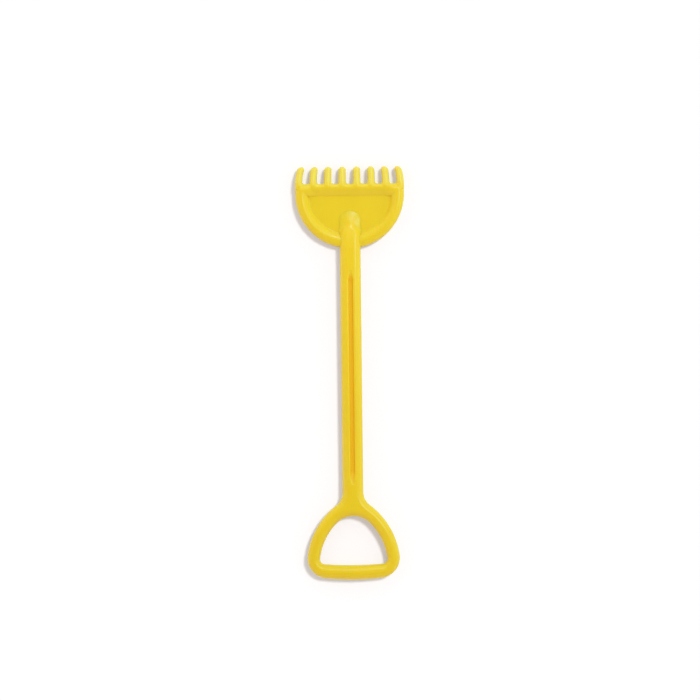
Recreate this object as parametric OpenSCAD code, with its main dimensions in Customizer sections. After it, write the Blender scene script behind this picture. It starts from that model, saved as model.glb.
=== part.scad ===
// Child's sand rake with a D-grip, lying on its back on a flat surface.
// X runs across the rake, +Y runs from the grip to the tines and +Z is up, out of the front face.
// The origin is on the surface, under the middle of the rake. All sizes are in millimetres.
// A clamped joint holds it together: two half shells form nose, shaft and grip, and grip the head's
// floor and tang between them. Five dowels on the parting plane pass through or beside the head.

/* [Overall] */
// Length over all, from the hand bar to the tips of the tines
total_l = 400; // [360:1:440]
// Thickness of the shaft, measured front to back
body_t = 14; // [13:0.5:18]

/* [Head] */
// Outer radius of the round head, which is half of its width
head_r = 52.7; // [46:0.1:60]
// Straight side between the round of the head and the top bar
head_side_l = 3.3; // [1:0.1:8]
// Width of the round bead that frames the head
bead_w = 12.6; // [12:0.1:15]
// Height of the bead's crest above the surface
bead_top_h = 12.6; // [11.5:0.1:16]
// Thickness of the bead's wall, which is open at the back
bead_wall = 2.4; // [1.6:0.1:3]
// Thickness of the head's floor
floor_t = 2.6; // [1.8:0.1:3.2]
// Radius of the fillet between the floor and the bead
floor_fillet_r = 1.5; // [1:0.1:3.5]
// Thickness of the ribs inside the bead
head_rib_t = 1.6; // [1:0.1:2.4]
// Height of the gap under those ribs
head_rib_gap = 2; // [1:0.1:4]
// Number of ribs in the round part of the bead
head_rib_count = 8; // [4:1:12]

/* [Tines] */
// Number of tines
tine_count = 8; // [4:1:9]
// Diameter of a tine
tine_d = 7; // [5:0.1:8]
// Length of a tine in front of the top bar
tine_l = 16.7; // [12:0.1:24]
// Lean of the outermost tines towards the middle, in degrees
tine_lean = 5.5; // [0:0.5:8]
// Radius of the fillets at the bottom of the gaps between tines
gap_fillet_r = 2.2; // [1:0.1:2.6]
// Thickness of those fillets
gap_fillet_t = 4.4; // [2:0.1:5]

/* [Shaft] */
// Width of the shaft
shaft_w = 20; // [18:0.5:26]
// Wall of the two hollow shells
shell_wall = 2.2; // [1.6:0.1:2.6]
// Distance from the head's outer edge to the tip of the nose
nose_l = 35; // [24:0.5:42]
// Thickness of the cross ribs inside the shaft
rib_t = 1.6; // [1:0.1:2.4]
// Number of cross ribs
rib_count = 8; // [4:1:12]
// Height of the locating lip along the seam
lip_h = 1.2; // [0.6:0.1:2]

/* [Groove] */
// Width of the groove in the front of the shaft
groove_w = 3.9; // [2.5:0.1:5]
// Depth of the groove
groove_d = 5; // [3:0.1:5]
// Length of the groove at the surface
groove_l = 203.5; // [120:0.5:206]
// Distance from the lower end of the groove to the lower end of the rake
groove_from_end = 94; // [88:0.5:110]
// Length of the sloping end nearest the head
groove_top_ramp = 7; // [3:0.5:12]
// Length of the sloping end nearest the grip
groove_low_ramp = 10; // [3:0.5:14]
// Radius of the rounded edges of the groove
groove_edge_r = 2.3; // [1:0.1:2.6]

/* [Grip] */
// Diameter of the hand bar
bar_d = 14; // [12:0.5:16]
// Diameter of the arms and corners
arm_d = 12; // [11:0.5:14]
// Centre line radius of the gently bowed hand bar
bar_bend_r = 368; // [250:1:600]
// Centre line radius of the two lower corners
corner_bend_r = 11.1; // [9:0.1:14]
// Centre line radius of the arms
arm_bend_r = 66.2; // [60:0.1:74]
// Centre line radius of the crown, where the arms meet under the shaft
crown_bend_r = 28.2; // [24:0.1:32]
// Angle above the cross axis at which crown and arm meet, in degrees
crown_angle = 44.5; // [40:0.5:50]
// Angle above the cross axis at which arm and corner meet, in degrees
corner_angle = 6.7; // [3:0.1:10]
// Radius of the fillets between shaft and arms
neck_fillet_r = 16; // [12:0.5:20]

/* [Joint] */
// Diameter of the dowels
dowel_d = 4; // [3:0.1:4.4]
// Length of the dowels
dowel_l = 9; // [7:0.1:9]
// Radial play of a dowel in its holes
dowel_play = 0.05; // [0.02:0.01:0.15]
// Wall of the bosses round the dowels
boss_wall = 1.8; // [1.2:0.1:2]
// Width of the head's tang inside the shaft
tang_w = 12; // [10:0.5:13]
// Thickness of the tang
tang_t = 5.2; // [4:0.1:5.4]
// Length of the tang beyond the head's outer edge
tang_l = 20; // [14:0.5:21]
// Play between parts that fit into each other
fit_play = 0.1; // [0.05:0.01:0.2]

/* [Hidden] */
$fn = 96;
plastic = "#f0d232";
dowel_plastic = "#f4f0e4";
// Overrun of every cut
cut = 1;
// Rounded edges and rods that run into each other differ by this step, so that they cross cleanly
blend_step = 0.1;
// Bends stop short of the middles of the balls that join them by this gap, along their centre line
joint_gap = 0.2;
// Degrees in one radian
radian = 180 / PI;
// Angle by which a web runs on into what it joins, in degrees
web_overlap = 3;
// Place of the tang's dowel, as a share of the tang's length
dowel_share = 0.6;

// Parting plane, and the ends of the rake
mid_z = body_t / 2;
end_y = total_l / 2;

// Head
bead_r = bead_w / 2;
bead_cz = bead_top_h - bead_r;
loop_r = head_r - bead_r;
bar_y = end_y - tine_l - bead_r;
head_y = bar_y - head_side_l;
head_low_y = head_y - head_r;
floor_r = loop_r - bead_r + bead_wall;
floor_top_y = bar_y - bead_r + bead_wall;
under_floor_z = mid_z - floor_t;
// Centre of the fillet between floor and bead, measured from the bead's centre line
fillet_z = mid_z + floor_fillet_r;
fillet_reach = sqrt(pow(bead_r + floor_fillet_r, 2) - pow(fillet_z - bead_cz, 2));
fillet_touch = bead_r / (bead_r + floor_fillet_r);

// Tines
tine_r = tine_d / 2;
tine_max_x = head_r - tine_r;
tine_pitch = 2 * tine_max_x / (tine_count - 1);

// Shaft, nose and groove
flat_half = (shaft_w - body_t) / 2;
nose_tip_y = head_low_y + nose_l;
nose_y = nose_tip_y - shaft_w / 2;
groove_low_y = -end_y + groove_from_end;
groove_top_y = groove_low_y + groove_l;
groove_floor_z = body_t - groove_d;
mouth_half = groove_w / 2 + groove_edge_r;
spine_w = groove_w + 2 * shell_wall;

// Grip, from the hand bar upwards: centres of the bends
bar_r = bar_d / 2;
bar_rod_r = bar_r - blend_step / 2;
arm_r = arm_d / 2;
bar_cy = -end_y + bar_rod_r + bar_bend_r;
arm_cx = -(arm_bend_r - crown_bend_r) * cos(crown_angle);
corner_cx = arm_cx + (arm_bend_r - corner_bend_r) * cos(corner_angle);
corner_cy = bar_cy - sqrt(pow(bar_bend_r - corner_bend_r, 2) - pow(corner_cx, 2));
arm_cy = corner_cy - (arm_bend_r - corner_bend_r) * sin(corner_angle);
crown_cy = arm_cy + (arm_bend_r - crown_bend_r) * sin(crown_angle);
bar_half_angle = asin(corner_cx / (bar_bend_r - corner_bend_r));
bar_gap = joint_gap / bar_bend_r * radian;
bar_end_x = bar_bend_r * sin(bar_half_angle);
bar_end_y = bar_cy - bar_bend_r * cos(bar_half_angle);
// The shaft's lower end is rounded and stays inside the crown's inner edge
crown_in_y = crown_cy + crown_bend_r - arm_r;
shaft_low_y = crown_in_y + shaft_w / 2 + shell_wall;
// The neck fillet touches the shaft's side and, at its far end, the arm's outer edge
neck_cx = shaft_w / 2 + neck_fillet_r;
neck_reach = arm_bend_r + arm_r + neck_fillet_r;
neck_cy = arm_cy + sqrt(pow(neck_reach, 2) - pow(neck_cx - arm_cx, 2));
arm_end_angle = acos((neck_cx - arm_cx) / neck_reach);
neck_end_angle = 180 + arm_end_angle;

// Dowels: two lock the head, one the neck and two the ends of the hand bar
boss_r = dowel_d / 2 + boss_wall;
dowel_z = mid_z - dowel_l / 2;
nose_dowel_place = [0, nose_y - boss_wall];
tang_dowel_place = [0, head_low_y - tang_l * dowel_share];
neck_dowel_place = [0, shaft_low_y + boss_wall];
bar_dowel_places = [[bar_end_x, bar_end_y], [-bar_end_x, bar_end_y]];
head_dowel_places = [nose_dowel_place, tang_dowel_place];
grip_dowel_places = concat([neck_dowel_place], bar_dowel_places);
lip_top_y = head_low_y - tang_l;
lip_low_y = neck_cy;

// Cross section of the shaft, drawn with its height along Y
module shaft_section(inset) {
    r = mid_z - inset;
    square([2 * flat_half, 2 * r], center = true);
    for (side = [-1, 1])
        translate([side * flat_half, 0])
            circle(r);
}

// Half of the shaft's section turned through a half circle, as a rounded end
module shaft_end(inset) {
    rotate_extrude(angle = 180)
        intersection() {
            shaft_section(inset);
            translate([0, -body_t])
                square(2 * body_t);
        }
}

// Shaft and nose, or their inside when inset by a wall
module shaft_form(inset) {
    translate([0, nose_y, mid_z]) {
        rotate([90, 0, 0])
            linear_extrude(nose_y - shaft_low_y)
                shaft_section(inset);
        shaft_end(inset);
    }
    translate([0, shaft_low_y, mid_z])
        rotate([0, 0, 180])
            shaft_end(inset);
}

// Part of a ring of round section, at a centre line radius
module bend(bend_r, from_angle, to_angle, r) {
    rotate([0, 0, from_angle])
        rotate_extrude(angle = to_angle - from_angle)
            translate([bend_r, 0])
                circle(r);
}

// A rounded edge swept round a fillet, with a web behind it; blend_step keeps its ends buried
module web(bend_r, from_angle, to_angle, r, web_w) {
    rotate([0, 0, from_angle])
        rotate_extrude(angle = to_angle - from_angle)
            translate([bend_r, 0]) {
                circle(r);
                translate([0, -r])
                    square([web_w, 2 * r]);
            }
}

// One side of the grip: arm, lower corner and the two balls that join them
module grip_side(inset) {
    r = arm_r - inset;
    arm_gap = joint_gap / arm_bend_r * radian;
    corner_gap = joint_gap / corner_bend_r * radian;
    translate([arm_cx, arm_cy, 0]) {
        bend(arm_bend_r, corner_angle + arm_gap, arm_end_angle, r);
        rotate([0, 0, corner_angle])
            translate([arm_bend_r, 0, 0])
                sphere(r + blend_step);
    }
    translate([corner_cx, corner_cy, 0])
        bend(corner_bend_r, bar_half_angle - 90 + corner_gap, corner_angle - corner_gap, r);
    translate([bar_end_x, bar_end_y, 0])
        sphere(bar_r - inset);
    translate([neck_cx, neck_cy, 0])
        web(
            neck_fillet_r + arm_r,
            180 - web_overlap,
            neck_end_angle + web_overlap,
            r - blend_step,
            neck_cx - neck_fillet_r - arm_r
        );
}

// Outer form of the handle, or its inside when inset by a wall
module handle_form(inset) {
    shaft_form(inset);
    translate([0, 0, mid_z]) {
        translate([0, crown_cy, 0])
            web(
                crown_bend_r,
                crown_angle - web_overlap,
                180 - crown_angle + web_overlap,
                arm_r - inset - blend_step,
                arm_r / 2
            );
        translate([0, bar_cy, 0])
            bend(
                bar_bend_r,
                -90 - bar_half_angle + bar_gap,
                -90 + bar_half_angle - bar_gap,
                bar_rod_r - inset
            );
        for (side = [0, 1])
            mirror([side, 0, 0])
                grip_side(inset);
    }
}

// A slab over the whole rake, between two heights
module slab(low_z, high_z) {
    translate([-total_l, -total_l, low_z])
        cube([2 * total_l, 2 * total_l, high_z - low_z]);
}

// Locating lip along both sides of the shaft: the inner part of the wall, under the parting plane
module seam_lip(play) {
    translate([0, lip_top_y + play, mid_z])
        rotate([90, 0, 0])
            linear_extrude(lip_top_y - lip_low_y + 2 * play)
                intersection() {
                    difference() {
                        shaft_section(shell_wall / 2 + fit_play - play);
                        shaft_section(shell_wall);
                    }
                    translate([-shaft_w / 2, -lip_h - play])
                        square([shaft_w, lip_h + play]);
                }
}

// The groove: a slot with sloping ends, and a mouth with rounded edges
module groove() {
    slope = groove_d / groove_low_ramp;
    mouth_low_y = groove_low_y + mouth_half;
    mouth_top_y = groove_top_y - mouth_half;
    translate([groove_w / 2, 0, 0])
        rotate([0, -90, 0])
            linear_extrude(groove_w)
                polygon([
                    [body_t, groove_low_y],
                    [groove_floor_z, groove_low_y + groove_low_ramp],
                    [groove_floor_z, groove_top_y - groove_top_ramp],
                    [body_t, groove_top_y],
                    [body_t + slope * cut, groove_top_y],
                    [body_t + slope * cut, groove_low_y]
                ]);
    translate([0, mouth_top_y, body_t])
        rotate([90, 0, 0])
            linear_extrude(mouth_top_y - mouth_low_y) {
                mouth_half_section();
                mirror([1, 0])
                    mouth_half_section();
            }
    translate([0, mouth_top_y, body_t])
        rotate_extrude(angle = 180)
            mouth_half_section();
    translate([0, mouth_low_y, body_t])
        rotate([0, 0, 180])
            rotate_extrude(angle = 180)
                mouth_half_section();
}

// Half of the mouth's section, with the surface of the shaft at height zero
module mouth_half_section() {
    difference() {
        translate([0, -groove_edge_r])
            square([mouth_half, groove_edge_r + cut]);
        translate([mouth_half, -groove_edge_r])
            circle(groove_edge_r);
    }
}

// Bosses that hold the dowels, between two heights
module bosses(places, low_z, high_z) {
    for (place = places)
        translate([place[0], place[1], low_z])
            cylinder(h = high_z - low_z, r = boss_r);
}

// Dowels, or their holes when play is given
module dowels(places, play) {
    for (place = places)
        translate([place[0], place[1], dowel_z - play])
            cylinder(h = dowel_l + 2 * play, r = dowel_d / 2 + play);
}

// The head's tang, or the room that it takes up inside the shaft when play is given
module tang(play) {
    translate([-tang_w / 2 - play, head_low_y - tang_l - play, under_floor_z - play])
        cube([
            tang_w + 2 * play,
            tang_l + head_y - floor_r - head_low_y + 2 * play,
            tang_t + 2 * play
        ]);
}

// Cross ribs inside the shaft, evenly spaced along the groove
module cross_ribs(low_z, high_z) {
    step = groove_l / (rib_count + 1);
    for (i = [1:rib_count])
        translate([-shaft_w / 2, groove_low_y + i * step - rib_t / 2, low_z])
            cube([shaft_w, rib_t, high_z - low_z]);
}

// Bosses in the ends of the hand bar, rooted in its wall
module bar_bosses(low_z, high_z) {
    for (place = bar_dowel_places)
        intersection() {
            translate([place[0], place[1], mid_z])
                sphere(bar_r - shell_wall / 2);
            bosses([place], low_z, high_z);
        }
}

// Front half of nose, shaft and grip, with the groove
module front_shell() {
    tang_top_z = under_floor_z + tang_t;
    color(plastic)
        difference() {
            union() {
                difference() {
                    handle_form(0);
                    handle_form(shell_wall);
                    slab(-cut, mid_z);
                }
                intersection() {
                    shaft_form(shell_wall / 2);
                    union() {
                        difference() {
                            union() {
                                translate([-spine_w / 2, groove_low_y - shell_wall, mid_z])
                                    cube([spine_w, groove_l + 2 * shell_wall, mid_z]);
                                cross_ribs(mid_z, body_t);
                            }
                            tang(fit_play);
                        }
                        bosses([neck_dowel_place, nose_dowel_place], mid_z, body_t);
                        bosses([tang_dowel_place], tang_top_z, body_t);
                    }
                }
                bar_bosses(mid_z, body_t);
                seam_lip(0);
            }
            groove();
            dowels(head_dowel_places, dowel_play);
            dowels(grip_dowel_places, dowel_play);
        }
}

// Back half of nose, shaft and grip, with a stiffening web along the shaft
module back_shell() {
    color(plastic)
        difference() {
            union() {
                difference() {
                    handle_form(0);
                    handle_form(shell_wall);
                    slab(mid_z, body_t + cut);
                }
                intersection() {
                    shaft_form(shell_wall / 2);
                    union() {
                        difference() {
                            union() {
                                translate([-rib_t / 2, groove_low_y - shell_wall, 0])
                                    cube([rib_t, groove_l + 2 * shell_wall, mid_z]);
                                cross_ribs(0, mid_z);
                            }
                            tang(fit_play);
                        }
                        bosses([neck_dowel_place], 0, mid_z);
                        bosses(head_dowel_places, 0, under_floor_z);
                    }
                }
                bar_bosses(0, mid_z);
            }
            seam_lip(fit_play);
            dowels(head_dowel_places, dowel_play);
            dowels(grip_dowel_places, dowel_play);
            translate([0, head_y, under_floor_z])
                cylinder(h = body_t, r = floor_r + fit_play);
        }
}

// Section of the bead: an arch on two straight legs, centred on its line
module bead_section(inset) {
    r = bead_r - inset;
    foot = inset > 0 ? -cut : 0;
    translate([-r, foot])
        square([2 * r, bead_cz - foot]);
    intersection() {
        translate([0, bead_cz])
            circle(r);
        translate([-r, bead_cz - blend_step])
            square([2 * r, bead_r]);
    }
}

// The closed D of the bead: round part, short straight sides, top bar and its two corners
module bead_loop(inset) {
    translate([0, head_y, 0])
        rotate([0, 0, 180])
            rotate_extrude(angle = 180)
                translate([loop_r, 0])
                    bead_section(inset);
    for (side = [-1, 1])
        translate([side * loop_r, bar_y, 0]) {
            rotate([90, 0, 0])
                linear_extrude(head_side_l)
                    bead_section(inset);
            rotate_extrude()
                intersection() {
                    bead_section(inset);
                    translate([0, -body_t])
                        square(2 * body_t);
                }
        }
    translate([-loop_r, bar_y, 0])
        rotate([90, 0, 90])
            linear_extrude(2 * loop_r)
                bead_section(inset);
}

// Half disc inside the bead, cut off square at the top bar
module head_plate(low_z, high_z) {
    translate([0, 0, low_z])
        linear_extrude(high_z - low_z)
            intersection() {
                union() {
                    translate([0, head_y])
                        circle(floor_r);
                    translate([-floor_r, head_y])
                        square([2 * floor_r, head_side_l + bead_r]);
                }
                translate([-head_r, floor_top_y - 2 * head_r])
                    square(2 * head_r);
            }
}

// Section of the fillet where the floor meets the bead, on the side of the head's middle
module fillet_section() {
    difference() {
        polygon([
            [-fillet_reach, mid_z - bead_wall],
            [-fillet_reach, mid_z],
            [-fillet_reach * fillet_touch, bead_cz + (fillet_z - bead_cz) * fillet_touch],
            [0, bead_cz],
            [0, mid_z - bead_wall]
        ]);
        translate([-fillet_reach, fillet_z])
            circle(floor_fillet_r);
    }
}

// Fillets all round the floor, kept inside the bead's loop
module floor_fillets() {
    translate([0, head_y, 0])
        rotate([0, 0, 180])
            rotate_extrude(angle = 180)
                translate([loop_r, 0])
                    fillet_section();
    for (side = [0, 1])
        mirror([side, 0, 0])
            translate([loop_r, bar_y, 0])
                rotate([90, 0, 0])
                    linear_extrude(head_side_l)
                        fillet_section();
    translate([-loop_r, bar_y, 0])
        rotate([90, 0, 90])
            linear_extrude(2 * loop_r)
                fillet_section();
}

// One tine, from the top bar's middle to a round tip
module tine(x) {
    lean = tine_lean * x * abs(x) / pow(tine_max_x, 2);
    reach = (end_y - tine_r - bar_y) / cos(lean);
    translate([x, bar_y, mid_z])
        rotate([-90, 0, lean]) {
            cylinder(h = reach, r = tine_r);
            translate([0, 0, reach])
                sphere(tine_r);
        }
}

// Fillets at the bottom of the gap between two tines
module gap_fillets(x) {
    flat_w = tine_pitch - tine_d - 2 * gap_fillet_r;
    translate([x, bar_y, mid_z - gap_fillet_t / 2])
        linear_extrude(gap_fillet_t)
            difference() {
                translate([-tine_pitch / 2, 0])
                    square([tine_pitch, bead_r + gap_fillet_r]);
                translate([-flat_w / 2, bead_r])
                    square([flat_w, gap_fillet_r + cut]);
                for (side = [-1, 1])
                    translate([side * flat_w / 2, bead_r + gap_fillet_r])
                        circle(gap_fillet_r);
            }
}

// Ribs across the inside of the bead, seen from the back
module head_ribs() {
    rib_h = bead_top_h - head_rib_gap;
    translate([0, head_y, head_rib_gap])
        for (i = [0:head_rib_count])
            rotate([0, 0, 180 + i * 180 / head_rib_count])
                translate([loop_r - bead_r, -head_rib_t / 2, 0])
                    cube([bead_w, head_rib_t, rib_h]);
    for (i = [1:tine_count - 1])
        translate([i * tine_pitch - tine_max_x - head_rib_t / 2, bar_y - bead_r, head_rib_gap])
            cube([head_rib_t, bead_w, rib_h]);
}

// The head: hollow bead, floor, tines and the tang that enters the shaft
module rake_head() {
    color(plastic)
        difference() {
            union() {
                difference() {
                    union() {
                        difference() {
                            union() {
                                bead_loop(0);
                                for (i = [0:tine_count - 1])
                                    tine(i * tine_pitch - tine_max_x);
                                for (i = [1:tine_count - 1])
                                    gap_fillets((i - 0.5) * tine_pitch - tine_max_x);
                            }
                            bead_loop(bead_wall);
                            head_plate(-cut, under_floor_z);
                        }
                        intersection() {
                            bead_loop(bead_wall / 2);
                            head_ribs();
                        }
                        difference() {
                            floor_fillets();
                            bead_loop(bead_wall);
                        }
                    }
                    shaft_form(-fit_play);
                }
                head_plate(under_floor_z, mid_z);
                tang(0);
                translate([-tang_w / 2, head_low_y, under_floor_z])
                    cube([tang_w, head_y - head_low_y, floor_t]);
            }
            dowels(head_dowel_places, dowel_play);
        }
}

// Dowels that lock the head between the shells
module head_dowels() {
    color(dowel_plastic)
        dowels(head_dowel_places, 0);
}

// Dowels that hold the shells together at the neck and at the ends of the hand bar
module grip_dowels() {
    color(dowel_plastic)
        dowels(grip_dowel_places, 0);
}

rake_head();
front_shell();
back_shell();
head_dowels();
grip_dowels();
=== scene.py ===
"""A child's yellow sand rake, lying face up on a white table and seen from straight above.

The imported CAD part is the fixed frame, and all of its nodes are replaced here. The head and the
two halves of the handle become meshes with the soft, rounded forms of a moulded toy, and the
dowels become turned pins. A moulding is the surface of a field that is negative inside the
plastic: it is found on a grid, and its points are then moved exactly onto the surface.

Lengths are in millimetres until a mesh is made. X runs across the rake, +Y towards the tines.
"""

import math

import bmesh
import bpy
import numpy as np
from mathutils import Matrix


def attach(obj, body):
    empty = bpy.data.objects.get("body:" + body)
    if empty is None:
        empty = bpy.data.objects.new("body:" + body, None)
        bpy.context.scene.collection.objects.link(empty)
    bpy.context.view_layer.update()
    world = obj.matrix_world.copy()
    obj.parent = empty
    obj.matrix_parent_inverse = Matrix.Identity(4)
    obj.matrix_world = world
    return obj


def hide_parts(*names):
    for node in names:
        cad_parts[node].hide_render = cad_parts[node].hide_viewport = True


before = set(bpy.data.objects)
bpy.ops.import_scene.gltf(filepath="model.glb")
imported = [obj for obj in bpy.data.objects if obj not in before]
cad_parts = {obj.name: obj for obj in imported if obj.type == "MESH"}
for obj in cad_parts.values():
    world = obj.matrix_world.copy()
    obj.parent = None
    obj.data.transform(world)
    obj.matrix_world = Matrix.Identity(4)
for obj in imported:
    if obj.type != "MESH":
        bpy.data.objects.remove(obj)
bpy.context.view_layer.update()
MM = 0.001

# ---------------------------------------------------------------- sizes
# Most of these are sizes of the part's source. The others follow the shading of the photo.
BODY_T = 14.0
MID_Z = BODY_T / 2
END_Y = 200.0

# Head: a bead round a sunken floor. A foot is how far inside the bead's centre line its slope ends
HEAD_R = 52.7
HEAD_Y = 173.7
BEAD_R = 6.3
BEAD_Z = 6.3
LOOP_R = HEAD_R - BEAD_R
LOOP_LOW_Y = HEAD_Y - LOOP_R
BAR_Y = 177.0
FLOOR_LOW = 4.4
FLOOR_TOP = 7.0
FLOOR_FILLET = 0.25
BAR_FOOT = 6.1
LOOP_FOOT = 6.9
BAR_SLOPE = math.radians(33)
LOOP_SLOPE = math.radians(51)
CREST_ROUND = 2.0
CORNER_FILLET = 7.0

# What changes towards the low end of the head: the slope, and what is added to radii and width
LOW_FADE = 45.0
LOW_SLOPE = math.radians(42)
LOW_FILLET = 0.4
LOW_ROUND = 0.6
LOW_WIDER = 0.9

# Tines
TINES = 8
TINE_R = 3.5
TINE_MAX_X = HEAD_R - TINE_R
TINE_PITCH = 2 * TINE_MAX_X / (TINES - 1)
TINE_BEND = 3.0
TINE_START_Y = BAR_Y + 1
TINE_BEND_Y = BAR_Y + BEAD_R
TINE_HIGH_Z = 8.2
TINE_LOW_Z = 4.6
ROOT_FILLET = 2.2
ROOT_FADE = 4.0
ROOT_PAST_SIDE = 0.2

# Hollow inside the bead, open at the back, and the ribs across it
CAVITY_R = 3.1
CAVITY_SHIFT = 1.2
RIB_T = 1.6
RIB_GAP = 2.0
RIB_FILLET = 0.4
RIB_MAX_X = TINE_MAX_X - 4
HEAD_RIBS = 8

# Nose of the handle, which comes down to the floor as a low roof
SHAFT_HALF = 10.0
NOSE_Y = 146.8
NOSE_SLOPE_Y = 120.0
NOSE_TIP_Z = 7.8
NOSE_BEND = 1.5
NOSE_LEAST_RISE = 0.3
NOSE_RIDGE = 1.4
NOSE_INSET = 1.1
NOSE_ROOF_FADE = 16.0
NOSE_FLANK_ROUND = 1.6

# Where the handle crosses the bead. Beside the handle the bead is lower, so that the handle's
# sides show, and under it the head's walls end a little higher, inside the handle's flat back
CROSS_MAX_Y = HEAD_Y - LOOP_R / 2
CROSS_DROP = 2.2
CROSS_REACH = 42.0
CROSS_FADE = 32.0
CROSS_LIFT = 0.3
CROSS_LIFT_FADE = 4.0
CROSS_FILLET = 0.7
NOSE_FILLET = 2.6
NOSE_FILLET_Y = LOOP_LOW_Y + 0.6 * BEAD_R
NOSE_FILLET_FADE = 4.0
NEAR_HEAD_Y = HEAD_Y - HEAD_R - 8

# Groove in the front of the shaft
GROOVE_LOW = -106.0
GROOVE_TOP = 97.5
GROOVE_HALF = 1.75
GROOVE_DEPTH = 2.7
GROOVE_EDGE = 2.1
GROOVE_TOP_RAMP = 7.5
GROOVE_LOW_RAMP = 10.0
GROOVE_POINT = 0.7

# Grip, right half: centres and radii of the circles that its outlines follow
NECK_R = 16.0
ARM_IN_C = (-26.5, -187.1)
ARM_IN_R = 59.6
ARM_OUT_C = (-28.2, -186.3)
ARM_OUT_R = 73.3
BOW_IN_C = (0.0, 175.0)
BOW_IN_R = 361.0
BOW_OUT_C = (0.0, 45.0)
BOW_OUT_R = 245.0
CORNER_IN_R = 5.0
CORNER_OUT_R = 19.5
CROWN_IN_R = 22.3

# The rod is as thick as its outlines allow, up to a limit that is 1 mm higher in the grip
GRIP_Y = -150.0
GRIP_FADE = 15.0
ROD_BLEND = 1.0

# Small radii of the moulding, and the gap that shows at the seam between the halves
RIM_R = 0.6
SEAT_R = 0.2
SHARP = 0.01
SEAM = 0.04

# Pins: x, y, low end and high end. The one under the nose is short, since the nose is low
PIN_R = 2.0
PIN_ROUND = 0.5
PIN_SIDES = 40
PIN_ROUND_STEPS = 4
PIN_LOW = 2.5
PIN_HIGH = 11.5
NOSE_PIN_HIGH = 9.0
PINS = {
    "head_dowels": [(0.0, 109.0, PIN_LOW, PIN_HIGH), (0.0, 144.2, PIN_LOW, NOSE_PIN_HIGH)],
    "grip_dowels": [
        (0.0, -124.48, PIN_LOW, PIN_HIGH),
        (28.48, -191.94, PIN_LOW, PIN_HIGH),
        (-28.48, -191.94, PIN_LOW, PIN_HIGH),
    ],
}

# Grid of the fields, and the low and high corner that it has for each moulding
GRID = 0.5
HEAD_SPAN = ((-54.25, 118.25, -1.25), (54.25, 202.0, 14.5))
FRONT_SPAN = ((-46.25, -202.25, 4.75), (46.25, 158.25, 15.75))
BACK_SPAN = ((-46.25, -202.25, -1.25), (46.25, 158.25, 9.25))

# Steps of the exact fit, and the least squared slope and the share of a grid step that one uses
FIT_STEPS = 5
FIT_LEAST_SLOPE = 0.05
FIT_REACH = 0.4
SLOPE_STEP = 0.01

# A value for places where a field plays no part, and the most that a closed cut may stand out
FAR = 20.0
CAP_LIMIT = 0.2


# ---------------------------------------------------------------- fields
def join(a, b, r):
    """Union of two fields, with a fillet of radius r where they meet."""
    u = np.maximum(r - a, 0)
    v = np.maximum(r - b, 0)
    return np.maximum(r, np.minimum(a, b)) - np.sqrt(u * u + v * v)


def keep(a, b, r):
    """What two fields have in common, with edges rounded to radius r."""
    return -join(-a, -b, r)


def soft_min(a, b, k):
    """The smaller of two values, with a soft change of width k between them."""
    h = np.maximum(k - np.abs(a - b), 0) / k
    return np.minimum(a, b) - h * h * k / 4


def ease(t):
    """Smooth step from 0 to 1."""
    t = np.clip(t, 0, 1)
    return t * t * (3 - 2 * t)


def circle_between(c1, r1, c2, r2):
    """The point with the larger x of the two at distance r1 from c1 and r2 from c2."""
    dx, dy = c2[0] - c1[0], c2[1] - c1[1]
    d = math.hypot(dx, dy)
    along = (d * d + r1 * r1 - r2 * r2) / (2 * d)
    off = math.sqrt(max(r1 * r1 - along * along, 0))
    return max(
        (c1[0] + (dx * along - s * dy * off) / d, c1[1] + (dy * along + s * dx * off) / d)
        for s in (1, -1)
    )


def touch(c, other):
    """Angle on a circle round c at which it touches another circle, whose centre is given."""
    return math.atan2(other[1] - c[1], other[0] - c[0])


def arc(c, r, a, b, sign):
    """Piece of an outline: centre, radius, angles, and +1 where the solid is inside the circle."""
    return {"c": c, "r": r, "mid": (a + b) / 2, "half": abs(b - a) / 2, "sign": sign}


def outline_distance(pieces, x, y):
    """Signed distance to an outline of arcs and one upright line, negative inside."""
    best = None
    for p in pieces:
        if "x" in p:
            over = np.maximum(np.maximum(p["low"] - y, y - p["high"]), 0)
            side = x - p["x"]
            size = np.hypot(side, over)
        else:
            dx, dy = x - p["c"][0], y - p["c"][1]
            rho = np.hypot(dx, dy)
            side = (rho - p["r"]) * p["sign"]
            turn = np.angle(np.exp(1j * (np.arctan2(dy, dx) - p["mid"])))
            off = np.clip(np.abs(turn) - p["half"], 0, None)
            end = np.hypot(
                rho * np.cos(off) - p["r"], rho * np.sin(np.minimum(off, math.pi / 2))
            )
            size = np.where(off > 0, end, np.abs(side))
        signed_size = np.where(side < 0, -size, size)
        if best is None:
            best, signed = size, signed_size
        else:
            nearer = size < best
            best = np.where(nearer, size, best)
            signed = np.where(nearer, signed_size, signed)
    return signed


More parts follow.
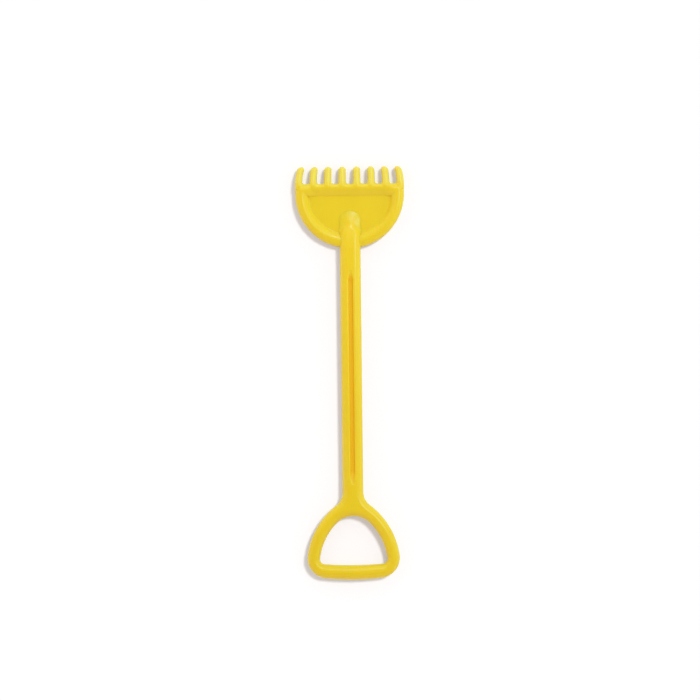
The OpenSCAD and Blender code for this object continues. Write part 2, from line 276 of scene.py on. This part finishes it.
def handle_outlines():
    """Right halves of the handle's outer outline and of the grip's opening."""
    down = -math.pi / 2
    neck_x = SHAFT_HALF + NECK_R
    reach = ARM_OUT_R + NECK_R
    neck_y = ARM_OUT_C[1] + math.sqrt(reach**2 - (neck_x - ARM_OUT_C[0]) ** 2)
    neck = (neck_x, neck_y)
    corner = circle_between(
        ARM_OUT_C, ARM_OUT_R - CORNER_OUT_R, BOW_OUT_C, BOW_OUT_R - CORNER_OUT_R
    )
    arm_corner = touch(ARM_OUT_C, corner)
    arm_neck = touch(ARM_OUT_C, neck)
    bow_corner = touch(BOW_OUT_C, corner)
    outer = [
        arc((0.0, NOSE_Y), SHAFT_HALF, 0, math.pi / 2, 1),
        {"x": SHAFT_HALF, "low": neck_y, "high": NOSE_Y},
        arc(neck, NECK_R, math.pi, touch(neck, ARM_OUT_C) % (2 * math.pi), -1),
        arc(ARM_OUT_C, ARM_OUT_R, arm_corner, arm_neck, 1),
        arc(corner, CORNER_OUT_R, bow_corner, arm_corner, 1),
        arc(BOW_OUT_C, BOW_OUT_R, down, bow_corner, 1),
    ]
    corner = circle_between(
        ARM_IN_C, ARM_IN_R - CORNER_IN_R, BOW_IN_C, BOW_IN_R - CORNER_IN_R
    )
    crown_y = ARM_IN_C[1] + math.sqrt((ARM_IN_R - CROWN_IN_R) ** 2 - ARM_IN_C[0] ** 2)
    crown = (0.0, crown_y)
    arm_corner = touch(ARM_IN_C, corner)
    arm_crown = touch(ARM_IN_C, crown)
    bow_corner = touch(BOW_IN_C, corner)
    opening = [
        arc(crown, CROWN_IN_R, arm_crown, math.pi / 2, 1),
        arc(ARM_IN_C, ARM_IN_R, arm_corner, arm_crown, 1),
        arc(corner, CORNER_IN_R, bow_corner, arm_corner, 1),
        arc(BOW_IN_C, BOW_IN_R, down, bow_corner, 1),
    ]
    return outer, opening


OUTER, OPENING = handle_outlines()


def handle_field(x, y, z, rise=MID_Z):
    """Nose, shaft and grip as one rounded rod, without the groove.

    Its front is as high above the middle as rise says.
    """
    x = np.abs(x)
    inside = -outline_distance(OUTER, x, y)
    beyond = outline_distance(OPENING, x, y)
    limit = MID_Z + ease((GRIP_Y - y) / GRIP_FADE)
    r = soft_min((inside + beyond) / 2, limit, ROD_BLEND)
    p = np.maximum(r - np.minimum(inside, beyond), 0)
    q = (z - MID_Z) * np.where(z > MID_Z, MID_Z / rise, 1.0)
    return np.sqrt(p * p + q * q) - r


def nose_rise(y):
    """Height of the front above the middle: the nose comes down in a long slope."""
    t = np.clip((y - NOSE_SLOPE_Y) / (NOSE_Y + SHAFT_HALF - NOSE_SLOPE_Y), 0, None)
    return np.maximum(MID_Z - (BODY_T - NOSE_TIP_Z) * np.power(t, NOSE_BEND), NOSE_LEAST_RISE)


def groove_field(x, y, z):
    """The slot in the front, which rises and narrows to a point at both ends."""
    top_t = np.clip((GROOVE_TOP - y) / GROOVE_TOP_RAMP, 0, None)
    low_t = np.clip((y - GROOVE_LOW) / GROOVE_LOW_RAMP, 0, None)
    share = np.minimum(np.minimum(top_t, low_t), 1.0)
    half = GROOVE_HALF * np.power(share, GROOVE_POINT)
    floor = BODY_T - GROOVE_DEPTH * share
    beyond = np.maximum(GROOVE_LOW - y, y - GROOVE_TOP)
    return np.maximum(np.maximum(np.abs(x) - half, floor - z), beyond)


def low_down(y):
    """How far a place is towards the low end of the head, from 0 to 1."""
    return ease((HEAD_Y - y) / LOW_FADE)


def loop_parts(x, y):
    """Distances to the centre line of the bead: of its top bar, and of its round part."""
    x = np.abs(x)
    bar = np.hypot(np.maximum(x - LOOP_R, 0), y - BAR_Y)
    side = np.hypot(x - LOOP_R, np.maximum(np.maximum(y - BAR_Y, HEAD_Y - y), 0))
    # Low down the bead is wider, with its crest nearer to the recess
    wider = LOW_WIDER * low_down(y)
    off = np.abs(np.hypot(x, y - HEAD_Y) - LOOP_R + wider) * BEAD_R / (BEAD_R + wider)
    low = np.where(y < HEAD_Y, off, np.hypot(x - LOOP_R, y - HEAD_Y))
    return bar, np.minimum(side, low)


def round_distance(x, y):
    """Distance to the centre line of the bead's sides and low end, negative inside."""
    return np.where(y < HEAD_Y, np.hypot(x, y - HEAD_Y) - LOOP_R, x - LOOP_R)


def inside_loop(x, y):
    """Negative inside the centre line of the whole bead."""
    return np.maximum(round_distance(np.abs(x), y), y - BAR_Y)


def inner_slopes(x, y, z):
    """Below the two slopes that rise from the floor of the recess, with soft corners."""
    low = round_distance(np.abs(x), y) + LOOP_FOOT
    bar = y - BAR_Y + BAR_FOOT
    z = z - FLOOR_TOP
    slope = LOOP_SLOPE + (LOW_SLOPE - LOOP_SLOPE) * low_down(y)
    low = z * np.cos(slope) - low * np.sin(slope)
    bar = z * math.cos(BAR_SLOPE) - bar * math.sin(BAR_SLOPE)
    return join(low, bar, CORNER_FILLET)


def tine_field(x, y, z):
    """All tines: rods with round tips, which slant down and bend towards the middle."""
    s = np.clip((y - TINE_BEND_Y) / (END_Y - TINE_BEND_Y), 0, 1)
    over = np.maximum(y - (END_Y - TINE_R), 0)
    height = TINE_HIGH_Z + (TINE_LOW_Z - TINE_HIGH_Z) * s
    field = None
    for i in range(TINES // 2):
        root = (i + 0.5) * TINE_PITCH
        centre = root - TINE_BEND * (root / TINE_MAX_X) ** 2 * s * s
        d = np.sqrt((np.abs(x) - centre) ** 2 + over**2 + (z - height) ** 2) - TINE_R
        field = d if field is None else np.minimum(field, d)
    return np.maximum(field, TINE_START_Y - y)


def over_bead(x, y, z):
    """Height over the bead's centre line, stretched beside the handle, where the bead is lower."""
    drop = CROSS_DROP * ease((CROSS_REACH - np.abs(x)) / CROSS_FADE) * (y < CROSS_MAX_Y)
    return np.maximum(z - BEAD_Z, 0) * BEAD_R / (BEAD_R - drop)


def head_solid(x, y, z):
    """Head with floor and tines, before it is hollowed from behind."""
    bar, low = loop_parts(x, y)
    bead = np.hypot(np.minimum(bar, low), over_bead(x, y, z)) - BEAD_R
    # Its inner side goes down to the floor in a straight slope
    bead = keep(bead, inner_slopes(x, y, z), CREST_ROUND + LOW_ROUND * low_down(y))
    # The fillets of the tine roots fade at the sides, which stay straight, and at the crest
    root = ROOT_FILLET * ease((HEAD_R + ROOT_PAST_SIDE - np.abs(x)) / TINE_R)
    root = SHARP + root * ease((y - TINE_START_Y) / ROOT_FADE)
    bead = join(bead, tine_field(x, y, z), root)
    half_t = (FLOOR_TOP - FLOOR_LOW) / 2
    plate = np.maximum(np.abs(z - (FLOOR_LOW + FLOOR_TOP) / 2) - half_t, inside_loop(x, y))
    return join(bead, plate, FLOOR_FILLET + LOW_FILLET * low_down(y))


def rib_field(x, y, z):
    """Ribs in the hollow bead: rays at its low end and sides, upright ones in the top bar."""
    step = math.pi / HEAD_RIBS
    turn = np.arctan2(y - HEAD_Y, np.abs(x))
    off = (np.mod(turn + step / 2, step) - step / 2) * np.hypot(x, y - HEAD_Y)
    rays = np.where(y < HEAD_Y + RIB_T, np.abs(off) - RIB_T / 2, FAR)
    off = np.mod(x + TINE_PITCH / 2, TINE_PITCH) - TINE_PITCH / 2
    in_bar = (y > BAR_Y - BEAD_R) & (np.abs(x) < RIB_MAX_X)
    upright = np.where(in_bar, np.abs(off) - RIB_T / 2, FAR)
    return np.maximum(np.minimum(rays, upright), RIB_GAP - z)


def head_field(x, y, z):
    """The head: bead open at the back with its ribs, floor and tines."""
    line = np.minimum(*loop_parts(x, y))
    inside = inside_loop(x, y)
    across = np.where(inside < 0, -line, line) - CAVITY_SHIFT
    hollow = np.hypot(across, over_bead(x, y, z)) - CAVITY_R
    lift = CROSS_LIFT * ease((SHAFT_HALF - np.abs(x)) / CROSS_LIFT_FADE) * (y < CROSS_MAX_Y)
    solid = keep(head_solid(x, y, z), lift - z, RIM_R)
    solid = keep(solid, -keep(hollow, -rib_field(x, y, z), RIB_FILLET), RIM_R)
    under_floor = np.maximum(np.maximum(inside, z - FLOOR_LOW), -(line - BEAD_R))
    return keep(solid, -under_floor, RIM_R)


def front_field(x, y, z):
    """Front of the handle with its groove, and the fillet from its nose onto the head."""
    rod = handle_field(x, y, z, nose_rise(y))
    # Over the floor of the recess the sides of the nose are slopes
    sloped = ease((y - LOOP_LOW_Y) / NOSE_ROOF_FADE)
    roof = np.arctan(nose_rise(np.minimum(y, NOSE_Y)) / (SHAFT_HALF - NOSE_INSET))
    angle = math.pi / 2 - (math.pi / 2 - roof) * sloped
    ridge = np.hypot(x, NOSE_RIDGE) - NOSE_RIDGE
    inward = SHAFT_HALF - NOSE_INSET - np.hypot(ridge, np.maximum(y - NOSE_Y, 0))
    flank = (z - FLOOR_TOP) * np.cos(angle) - inward * np.sin(angle)
    roofed = keep(rod, flank, SHARP + NOSE_FLANK_ROUND * sloped)
    field = keep(np.where(sloped > 0, roofed, rod), -groove_field(x, y, z), GROOVE_EDGE)
    # The fillet keeps a seam's width away from the head
    near_head = y > NEAR_HEAD_Y
    head = np.where(near_head, head_solid(x, y, z), FAR)
    past = ease((y - NOSE_FILLET_Y) / NOSE_FILLET_FADE)
    fillet = CROSS_FILLET + (NOSE_FILLET - CROSS_FILLET) * past
    skirt = np.maximum(join(field, head, fillet), SEAM - head)
    return np.where(near_head, np.minimum(field, skirt), field)


def back_field(x, y, z):
    """Back of the handle, with the seat for the head's floor."""
    seat = np.maximum(inside_loop(x, y), FLOOR_LOW - z)
    return keep(handle_field(x, y, z), -seat, SEAT_R)


# ---------------------------------------------------------------- meshes
def slope_of(field, p):
    """Gradient of a field at points p, by central differences."""
    out = np.empty_like(p)
    for axis in range(3):
        step = np.zeros(3)
        step[axis] = SLOPE_STEP
        out[:, axis] = (field(*(p + step).T) - field(*(p - step).T)) / (2 * SLOPE_STEP)
    return out


def grid_surface(field, low, high):
    """Points and quads round a field's zero level: a point in each grid cell that it crosses."""
    axes = [np.arange(a, b + GRID, GRID) for a, b in zip(low, high)]
    values = field(*np.meshgrid(*axes, indexing="ij"))
    inside = values < 0
    corners = [(i, j, k) for i in (0, 1) for j in (0, 1) for k in (0, 1)]
    n = [s - 1 for s in values.shape]

    def shifted(a, c):
        return a[c[0] : c[0] + n[0], c[1] : c[1] + n[1], c[2] : c[2] + n[2]]

    count = sum(shifted(inside, c).astype(np.int8) for c in corners)
    cells = np.argwhere((count > 0) & (count < len(corners)))
    index = np.full(n, -1, np.int64)
    index[tuple(cells.T)] = np.arange(len(cells))

    # A cell's point is the mean of the places where its edges are crossed
    total = np.zeros((len(cells), 3))
    hits = np.zeros(len(cells))
    for a in corners:
        for axis in range(3):
            if a[axis]:
                continue
            b = list(a)
            b[axis] = 1
            va = values[tuple((cells + a).T)]
            vb = values[tuple((cells + b).T)]
            cross = (va < 0) != (vb < 0)
            t = np.where(cross, va / np.where(cross, va - vb, 1), 0)
            point = np.array(a, float) + t[:, None] * (np.array(b) - a)
            total += point * cross[:, None]
            hits += cross
    points = np.array(low) + (cells + total / hits[:, None]) * GRID

    # A quad joins the four cells round each crossed edge, and faces out
    quads = []
    for axis, (u, v) in enumerate(((1, 2), (2, 0), (0, 1))):
        one = [slice(None)] * 3
        two = [slice(None)] * 3
        one[axis] = slice(0, -1)
        two[axis] = slice(1, None)
        edges = np.argwhere(inside[tuple(one)] != inside[tuple(two)])
        ok = (edges[:, u] > 0) & (edges[:, v] > 0)
        ok &= (edges[:, u] < n[u]) & (edges[:, v] < n[v])
        edges = edges[ok]
        ring = []
        for du, dv in ((-1, -1), (0, -1), (0, 0), (-1, 0)):
            cell = edges.copy()
            cell[:, u] += du
            cell[:, v] += dv
            ring.append(index[tuple(cell.T)])
        quad = np.stack(ring, 1)
        starts_inside = inside[tuple(edges.T)]
        quad[~starts_inside] = quad[~starts_inside][:, ::-1]
        quads.append(quad)
    return points, np.concatenate(quads)


def surface_mesh(name, field, span):
    """Mesh of a field's surface, with its points moved onto the surface."""
    points, quads = grid_surface(field, *span)
    for _ in range(FIT_STEPS):
        slope = slope_of(field, points)
        size = np.maximum((slope * slope).sum(1), FIT_LEAST_SLOPE)
        move = -(field(*points.T) / size)[:, None] * slope
        length = np.linalg.norm(move, axis=1)
        points += move * np.minimum(1, FIT_REACH * GRID / np.maximum(length, 1e-9))[:, None]
    mesh = bpy.data.meshes.new(name)
    mesh.vertices.add(len(points))
    mesh.vertices.foreach_set("co", (points * MM).astype(np.float32).ravel())
    mesh.loops.add(quads.size)
    mesh.loops.foreach_set("vertex_index", quads.ravel().astype(np.int32))
    mesh.polygons.add(len(quads))
    mesh.polygons.foreach_set("loop_start", np.arange(0, quads.size, 4, dtype=np.int32))
    mesh.update(calc_edges=True)
    mesh.validate()
    mesh.shade_smooth()
    return mesh


def cut_at(mesh, height, keep_above, field):
    """Cuts a mesh at a height in millimetres, and closes the cut where the field is solid."""
    bm = bmesh.new()
    bm.from_mesh(mesh)
    bmesh.ops.bisect_plane(
        bm,
        geom=bm.verts[:] + bm.edges[:] + bm.faces[:],
        plane_co=(0, 0, height * MM),
        plane_no=(0, 0, 1),
        clear_outer=not keep_above,
        clear_inner=keep_above,
    )
    edges = [e for e in bm.edges if e.is_boundary]
    made = bmesh.ops.triangle_fill(bm, use_beauty=True, use_dissolve=False, edges=edges)
    faces = [f for f in made["geom"] if isinstance(f, bmesh.types.BMFace)]
    centres = np.array([f.calc_center_median() for f in faces]) / MM
    open_faces = [f for f, value in zip(faces, field(*centres.T)) if value > CAP_LIMIT]
    facing = -1 if keep_above else 1
    for face in faces:
        face.smooth = False
        face.normal_update()
        if face.normal.z * facing < 0:
            face.normal_flip()
    bmesh.ops.delete(bm, geom=open_faces, context="FACES_ONLY")
    for edge in edges:
        if edge.is_valid:
            edge.smooth = False
    bm.to_mesh(mesh)
    bm.free()
    return mesh


def pin_profile(low, high):
    """Radius and height along a pin with rounded ends, from one end's middle to the other's."""
    profile = [(0.0, low)]
    for k in range(PIN_ROUND_STEPS + 1):
        a = math.pi / 2 * k / PIN_ROUND_STEPS
        r = PIN_R - PIN_ROUND * (1 - math.sin(a))
        profile.append((r, low + PIN_ROUND * (1 - math.cos(a))))
    return profile + [(r, low + high - z) for r, z in reversed(profile)]


def pins_mesh(name, places):
    """Turned pins, one at each (x, y, low, high)."""
    turn = [2 * math.pi * i / PIN_SIDES for i in range(PIN_SIDES)]
    bm = bmesh.new()
    for x, y, low, high in places:
        rings = []
        for r, z in pin_profile(low, high):
            around = turn if r else turn[:1]
            spots = [(x + r * math.cos(a), y + r * math.sin(a), z) for a in around]
            rings.append([bm.verts.new([c * MM for c in spot]) for spot in spots])
        for a, b in zip(rings, rings[1:]):
            for i in range(PIN_SIDES):
                j = (i + 1) % PIN_SIDES
                if len(a) == 1:
                    bm.faces.new((a[0], b[j], b[i]))
                elif len(b) == 1:
                    bm.faces.new((a[i], a[j], b[0]))
                else:
                    bm.faces.new((a[i], a[j], b[j], b[i]))
    mesh = bpy.data.meshes.new(name)
    bm.to_mesh(mesh)
    bm.free()
    mesh.shade_smooth()
    return mesh


# ---------------------------------------------------------------- materials
def linear(r, g, b):
    """Colour of a screen value, as the shader wants it."""
    return tuple(
        v / 12.92 if v <= 0.04045 else ((v + 0.055) / 1.055) ** 2.4
        for v in (r / 255, g / 255, b / 255)
    )


# Colours: deep and light, between which faint flow marks vary, and which also carry painted shade,
# deeper towards the grip and lighter towards the head; and the one that the plastic has for light
# on its way to the table and back
YELLOW_DEEP_AND_SHADED = linear(230, 201, 22)
YELLOW_LIGHT_AND_LIT = linear(240, 208.5, 30)
YELLOW_BOUNCED = (0.88, 0.72, 0.54)
YELLOW_ROUGHNESS = 0.32
# Share of the change from deep to light that is painted shade along the rake, deeper towards the
# grip
YELLOW_PAINTED_SHADE_SHARE = 0.65
YELLOW_SHADER = {
    "Specular IOR Level": 0.42,
    "Subsurface Weight": 0.25,
    "Subsurface Radius": (1.0, 0.55, 0.15),
    "Subsurface Scale": 0.0035,
}
DOWEL_DEEP = linear(232, 228, 214)
DOWEL_LIGHT = linear(240, 237, 226)
DOWEL_BOUNCED = (0.8, 0.78, 0.7)
DOWEL_ROUGHNESS = 0.45

# Painted shade down in the groove and a painted sheen on the tines, and the ranges in millimetres
# over which they come in
GROOVE_PAINTED_SHADE = linear(244, 196, 14)
GROOVE_SHADE_X = (2.9, 2.3)
GROOVE_SHADE_DOWN = (13.6, 12.4)
GROOVE_SHADE_UP = (10.0, 10.5)
TINE_PAINTED_SHEEN = linear(236, 215, 74)
TINE_SHEEN_Y = (180, 186)

# Moulded plastic: scale and detail of each noise, the part of its range that counts, what wear
# takes from and adds to the roughness, and strength and distance of the bumps
FLOW_NOISE = (55, 3)
FLOW_STRETCH = (1.0, 0.22, 1.0)
FLOW_RANGE = (0.35, 0.65)
# Range in millimetres along Y of the painted shade, from the grip to the head
PAINTED_SHADE_Y_RANGE = (-190, 170)
BOUNCE_SHARE = 0.6
WEAR_NOISE = (240, 4)
WEAR_RANGE = (0.3, 0.7)
WEAR_LESS = 0.03
WEAR_MORE = 0.05
SKIN_NOISE = (2600, 2)
SKIN_BUMP = (0.05, 0.00008)
WAVE_NOISE = (70, 1)
WAVE_BUMP = (0.25, 0.00022)
PLASTIC_IOR = 1.49


def add_node(tree, kind, inputs, **settings):
    """Adds a shader node. Its inputs are given values, or outputs of other nodes."""
    node = tree.nodes.new(kind)
    for key, value in settings.items():
        setattr(node, key, value)
    for key, value in inputs.items():
        if isinstance(value, bpy.types.NodeSocket):
            tree.links.new(value, node.inputs[key])
        else:
            node.inputs[key].default_value = value
    return node


def calc(tree, operation, *values):
    """Result of a math node."""
    node = add_node(tree, "ShaderNodeMath", dict(enumerate(values)), operation=operation)
    return node.outputs["Value"]


def mixed(tree, a, b, amount):
    """Colour between a and b."""
    a, b = ((*c, 1) if isinstance(c, tuple) else c for c in (a, b))
    inputs = {"A": a, "B": b, "Factor": amount}
    return add_node(tree, "ShaderNodeMix", inputs, data_type="RGBA").outputs["Result"]


def noise(tree, scale, detail, where):
    """Value of a noise texture."""
    inputs = {"Scale": scale, "Detail": detail, "Vector": where}
    return add_node(tree, "ShaderNodeTexNoise", inputs).outputs["Fac"]


def ranged(tree, value, start, end, low=0.0, high=1.0):
    """A value's place between start and end, as a value between low and high."""
    inputs = {"Value": value, "From Min": start, "From Max": end, "To Min": low, "To Max": high}
    return add_node(tree, "ShaderNodeMapRange", inputs).outputs["Result"]


def bump(tree, height, strength, distance, under=None):
    """Normal of a bumpy surface, which can have another one under it."""
    inputs = {"Height": height, "Strength": strength, "Distance": distance}
    if under:
        inputs["Normal"] = under
    return add_node(tree, "ShaderNodeBump", inputs).outputs["Normal"]


def object_place(tree):
    """Place on the object, and its x, y and z."""
    place = tree.nodes.new("ShaderNodeTexCoord").outputs["Object"]
    return place, add_node(tree, "ShaderNodeSeparateXYZ", {"Vector": place}).outputs


def plain_material(name, colour, roughness):
    """Material, its node tree and its shader."""
    material = bpy.data.materials.new(name)
    material.use_nodes = True
    shader = material.node_tree.nodes["Principled BSDF"]
    shader.inputs["Base Color"].default_value = (*colour, 1)
    shader.inputs["Roughness"].default_value = roughness
    return material, material.node_tree, shader


def moulded_plastic(name, deep, light, roughness, bounced, painted_shade_share=0.0):
    """Glossy moulded plastic: faint flow marks in its colour, a fine skin and soft waves.

    The part of the change from deep to light that is painted shade, deeper towards the grip and
    lighter towards the head, is given as painted_shade_share.
    """
    material, tree, shader = plain_material(name, deep, roughness)
    place, split = object_place(tree)
    stretched = add_node(tree, "ShaderNodeMapping", {"Vector": place, "Scale": FLOW_STRETCH})
    flow = noise(tree, *FLOW_NOISE, stretched.outputs["Vector"])
    marks = ranged(tree, flow, *FLOW_RANGE, 0, 1 - painted_shade_share)
    # Painted shade: the colour is deeper towards the grip and lighter towards the head
    low_y, high_y = (y * MM for y in PAINTED_SHADE_Y_RANGE)
    painted_shade_along = ranged(tree, split["Y"], low_y, high_y, 0, painted_shade_share)
    colour = mixed(tree, deep, light, calc(tree, "ADD", marks, painted_shade_along))
    bouncing = tree.nodes.new("ShaderNodeLightPath").outputs["Is Diffuse Ray"]
    colour = mixed(tree, colour, bounced, ranged(tree, bouncing, 0, 1, 0, BOUNCE_SHARE))
    wear = noise(tree, *WEAR_NOISE, place)
    worn = ranged(tree, wear, *WEAR_RANGE, roughness - WEAR_LESS, roughness + WEAR_MORE)
    skin = bump(tree, noise(tree, *SKIN_NOISE, place), *SKIN_BUMP)
    normal = bump(tree, noise(tree, *WAVE_NOISE, place), *WAVE_BUMP, skin)
    for key, socket in (("Base Color", colour), ("Roughness", worn), ("Normal", normal)):
        tree.links.new(socket, shader.inputs[key])
    shader.inputs["IOR"].default_value = PLASTIC_IOR
    return material, shader


def mix_painted_light(tree, shader, colour, *shares):
    """Mixes painted light or shade, a colour, into the shader's base colour, by the product of the
    shares.
    """
    amount = shares[0]
    for share in shares[1:]:
        amount = calc(tree, "MULTIPLY", amount, share)
    base = shader.inputs["Base Color"].links[0].from_socket
    tree.links.new(mixed(tree, base, colour, amount), shader.inputs["Base Color"])


def paint_shade_and_sheen(material, shader):
    """Painted shade, a deeper tone down in the groove, and a painted sheen, a paler tone on the
    thin tines.
    """
    tree = material.node_tree
    _, split = object_place(tree)

    def share(value, span):
        return ranged(tree, value, *(end * MM for end in span))

    middle, half = (GROOVE_TOP + GROOVE_LOW) / 2 * MM, (GROOVE_TOP - GROOVE_LOW) / 2 * MM
    along = calc(tree, "COMPARE", split["Y"], middle, half)
    near = share(calc(tree, "ABSOLUTE", split["X"]), GROOVE_SHADE_X)
    deep = share(split["Z"], GROOVE_SHADE_DOWN)
    front = share(split["Z"], GROOVE_SHADE_UP)
    # Painted shade: a deeper, more orange tone down in the groove
    mix_painted_light(tree, shader, GROOVE_PAINTED_SHADE, near, deep, front, along)
    # Painted sheen: a paler tone on the tines
    mix_painted_light(tree, shader, TINE_PAINTED_SHEEN, share(split["Y"], TINE_SHEEN_Y))


# ---------------------------------------------------------------- pieces
def add_piece(name, mesh, node, material):
    """Puts a mesh in the scene in the place of a CAD node."""
    piece = bpy.data.objects.new(name, mesh)
    bpy.context.scene.collection.objects.link(piece)
    mesh.materials.append(material)
    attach(piece, "root")
    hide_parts(node)
    return piece


yellow, yellow_shader = moulded_plastic(
    "yellow_plastic",
    YELLOW_DEEP_AND_SHADED,
    YELLOW_LIGHT_AND_LIT,
    YELLOW_ROUGHNESS,
    YELLOW_BOUNCED,
    YELLOW_PAINTED_SHADE_SHARE,
)
for key, value in YELLOW_SHADER.items():
    yellow_shader.inputs[key].default_value = value
# Painted shade in the groove and a painted sheen on the tines
paint_shade_and_sheen(yellow, yellow_shader)
dowel, _ = moulded_plastic(
    "dowel_plastic", DOWEL_DEEP, DOWEL_LIGHT, DOWEL_ROUGHNESS, DOWEL_BOUNCED
)

head_mesh = surface_mesh("rake_head", head_field, HEAD_SPAN)
front_mesh = surface_mesh("front_shell", front_field, FRONT_SPAN)
back_mesh = surface_mesh("back_shell", back_field, BACK_SPAN)
cut_at(front_mesh, MID_Z + SEAM, True, front_field)
cut_at(back_mesh, MID_Z - SEAM, False, back_field)
toy = [
    add_piece("rake_head_moulding", head_mesh, "rake_head", yellow),
    add_piece("front_shell_moulding", front_mesh, "front_shell", yellow),
    add_piece("back_shell_moulding", back_mesh, "back_shell", yellow),
]
for node, places in PINS.items():
    pins = pins_mesh(node, places)
    toy.append(add_piece(node + "_turned", pins, node, dowel))

# ---------------------------------------------------------------- table
# The table for light on its way to the toy, and as the camera sees it: partly glowing, so
# that its shadows stay pale and narrow
TABLE_SIZE = 6
TABLE = (0.55, 0.61, 0.66)
TABLE_ROUGHNESS = 0.9
TABLE_SEEN = (0.42, 0.50, 0.53)
TABLE_GLOW = (0.30, 0.262, 0.25)

bpy.ops.mesh.primitive_plane_add(size=TABLE_SIZE, location=(0, 0, 0))
table = bpy.context.object
table.name = "table"
table_material, tree, shader = plain_material("table_white", TABLE, TABLE_ROUGHNESS)
shader.inputs["Specular IOR Level"].default_value = 0.0
seen = add_node(tree, "ShaderNodeBsdfDiffuse", {"Color": (*TABLE_SEEN, 1)})
glow = add_node(tree, "ShaderNodeEmission", {"Color": (*TABLE_GLOW, 1)})
both = {0: seen.outputs["BSDF"], 1: glow.outputs["Emission"]}
choose = {
    "Fac": tree.nodes.new("ShaderNodeLightPath").outputs["Is Camera Ray"],
    1: shader.outputs["BSDF"],
    2: add_node(tree, "ShaderNodeAddShader", both).outputs["Shader"],
}
surface = add_node(tree, "ShaderNodeMixShader", choose).outputs["Shader"]
tree.links.new(surface, tree.nodes["Material Output"].inputs["Surface"])
table.data.materials.append(table_material)

# ---------------------------------------------------------------- light
# The room is dark overhead and bright low down, and brightest beyond the tines
ROOM_TOP = (0.62, 0.29, 0.28)
ROOM_SIDE = (1.12, 1.18, 1.11)
ROOM_LEAN = 0.10

# Lamps for the toy: share of a level surface's light, direction, height and size. They are near
# enough to the toy that its grip is a little darker than its head
LAMP_TINT = (0.55, 1.12, 1.25)
LAMPS = {
    "front_lamp": (0.125, (0.22, 0.85, 1.0), 1.6, 0.30),
    "side_lamp": (0.12, (0.60, 0.25, 1.0), 1.6, 0.50),
}

# Lamp for the table alone
TABLE_KEY = 0.77
TABLE_KEY_DIRECTION = (0.475, 0.42, 1.0)
TABLE_KEY_ANGLE = math.radians(12)
TABLE_KEY_TINT = (1.13, 1.0, 0.98)

scene = bpy.context.scene
world = bpy.data.worlds.new("studio")
scene.world = world
world.use_nodes = True
tree = world.node_tree
where = tree.nodes.new("ShaderNodeTexCoord").outputs["Generated"]
split = add_node(tree, "ShaderNodeSeparateXYZ", {"Vector": where}).outputs
overhead = calc(tree, "POWER", split["Z"], 2)
background = tree.nodes["Background"]
tree.links.new(mixed(tree, ROOM_SIDE, ROOM_TOP, overhead), background.inputs["Color"])
lean = ranged(tree, split["Y"], -1.0, 1.0, 1 - ROOM_LEAN, 1 + ROOM_LEAN)
tree.links.new(lean, background.inputs["Strength"])
white = add_node(tree, "ShaderNodeBackground", {"Color": (1, 1, 1, 1)})
choose = {
    "Fac": tree.nodes.new("ShaderNodeLightPath").outputs["Is Camera Ray"],
    1: background.outputs["Background"],
    2: white.outputs["Background"],
}
surface = add_node(tree, "ShaderNodeMixShader", choose).outputs["Shader"]
tree.links.new(surface, tree.nodes["World Output"].inputs["Surface"])


def add_lamp(name, kind, energy, direction, colour, receivers):
    """A lamp that shines back along a direction, on the objects given alone."""
    x, y, z = direction
    data = bpy.data.lights.new(name, kind)
    data.energy = energy
    data.color = colour
    lamp = bpy.data.objects.new(name, data)
    scene.collection.objects.link(lamp)
    lamp.rotation_euler = (math.atan2(math.hypot(x, y), z), 0, math.atan2(x, -y))
    lit = bpy.data.collections.new("lit_by_" + name)
    for obj in receivers:
        lit.objects.link(obj)
    lamp.light_linking.receiver_collection = lit
    return lamp


def slant(direction):
    """Length of a direction for each unit of height."""
    return math.sqrt(sum(c * c for c in direction)) / direction[2]


for name, (share, direction, height, size) in LAMPS.items():
    way = slant(direction)
    power = share * math.pi**2 * (height * way) ** 2 * way
    lamp = add_lamp(name, "AREA", power, direction, LAMP_TINT, toy)
    lamp.location = tuple(c * height for c in direction)
    lamp.data.shape = "DISK"
    lamp.data.size = size
power = TABLE_KEY * math.pi * slant(TABLE_KEY_DIRECTION)
sun = add_lamp("table_lamp", "SUN", power, TABLE_KEY_DIRECTION, TABLE_KEY_TINT, [table])
sun.data.angle = TABLE_KEY_ANGLE

# ---------------------------------------------------------------- camera
# Straight above the rake, which is as large, as far off the middle and as turned as in the photo
PHOTO_PIXELS = 700
PIXEL_MM = 0.9680
ORIGIN_PIXEL = (351.65, 372.95)
ROLL = 0.0115
LENS = 100.0
SENSOR = 36.0

camera_data = bpy.data.cameras.new("camera")
camera_data.lens = LENS
camera_data.sensor_width = SENSOR
camera_data.clip_start = 0.1
camera_data.clip_end = 20
camera = bpy.data.objects.new("camera", camera_data)
scene.collection.objects.link(camera)
scene.camera = camera
across = (PHOTO_PIXELS / 2 - ORIGIN_PIXEL[0]) * PIXEL_MM * MM
up = (ORIGIN_PIXEL[1] - PHOTO_PIXELS / 2) * PIXEL_MM * MM
distance = PHOTO_PIXELS * PIXEL_MM * MM * LENS / SENSOR
camera.location = (
    across * math.cos(ROLL) + up * math.sin(ROLL),
    up * math.cos(ROLL) - across * math.sin(ROLL),
    MID_Z * MM + distance,
)
camera.rotation_euler = (0, 0, -ROLL)

scene.view_settings.view_transform = "Standard"
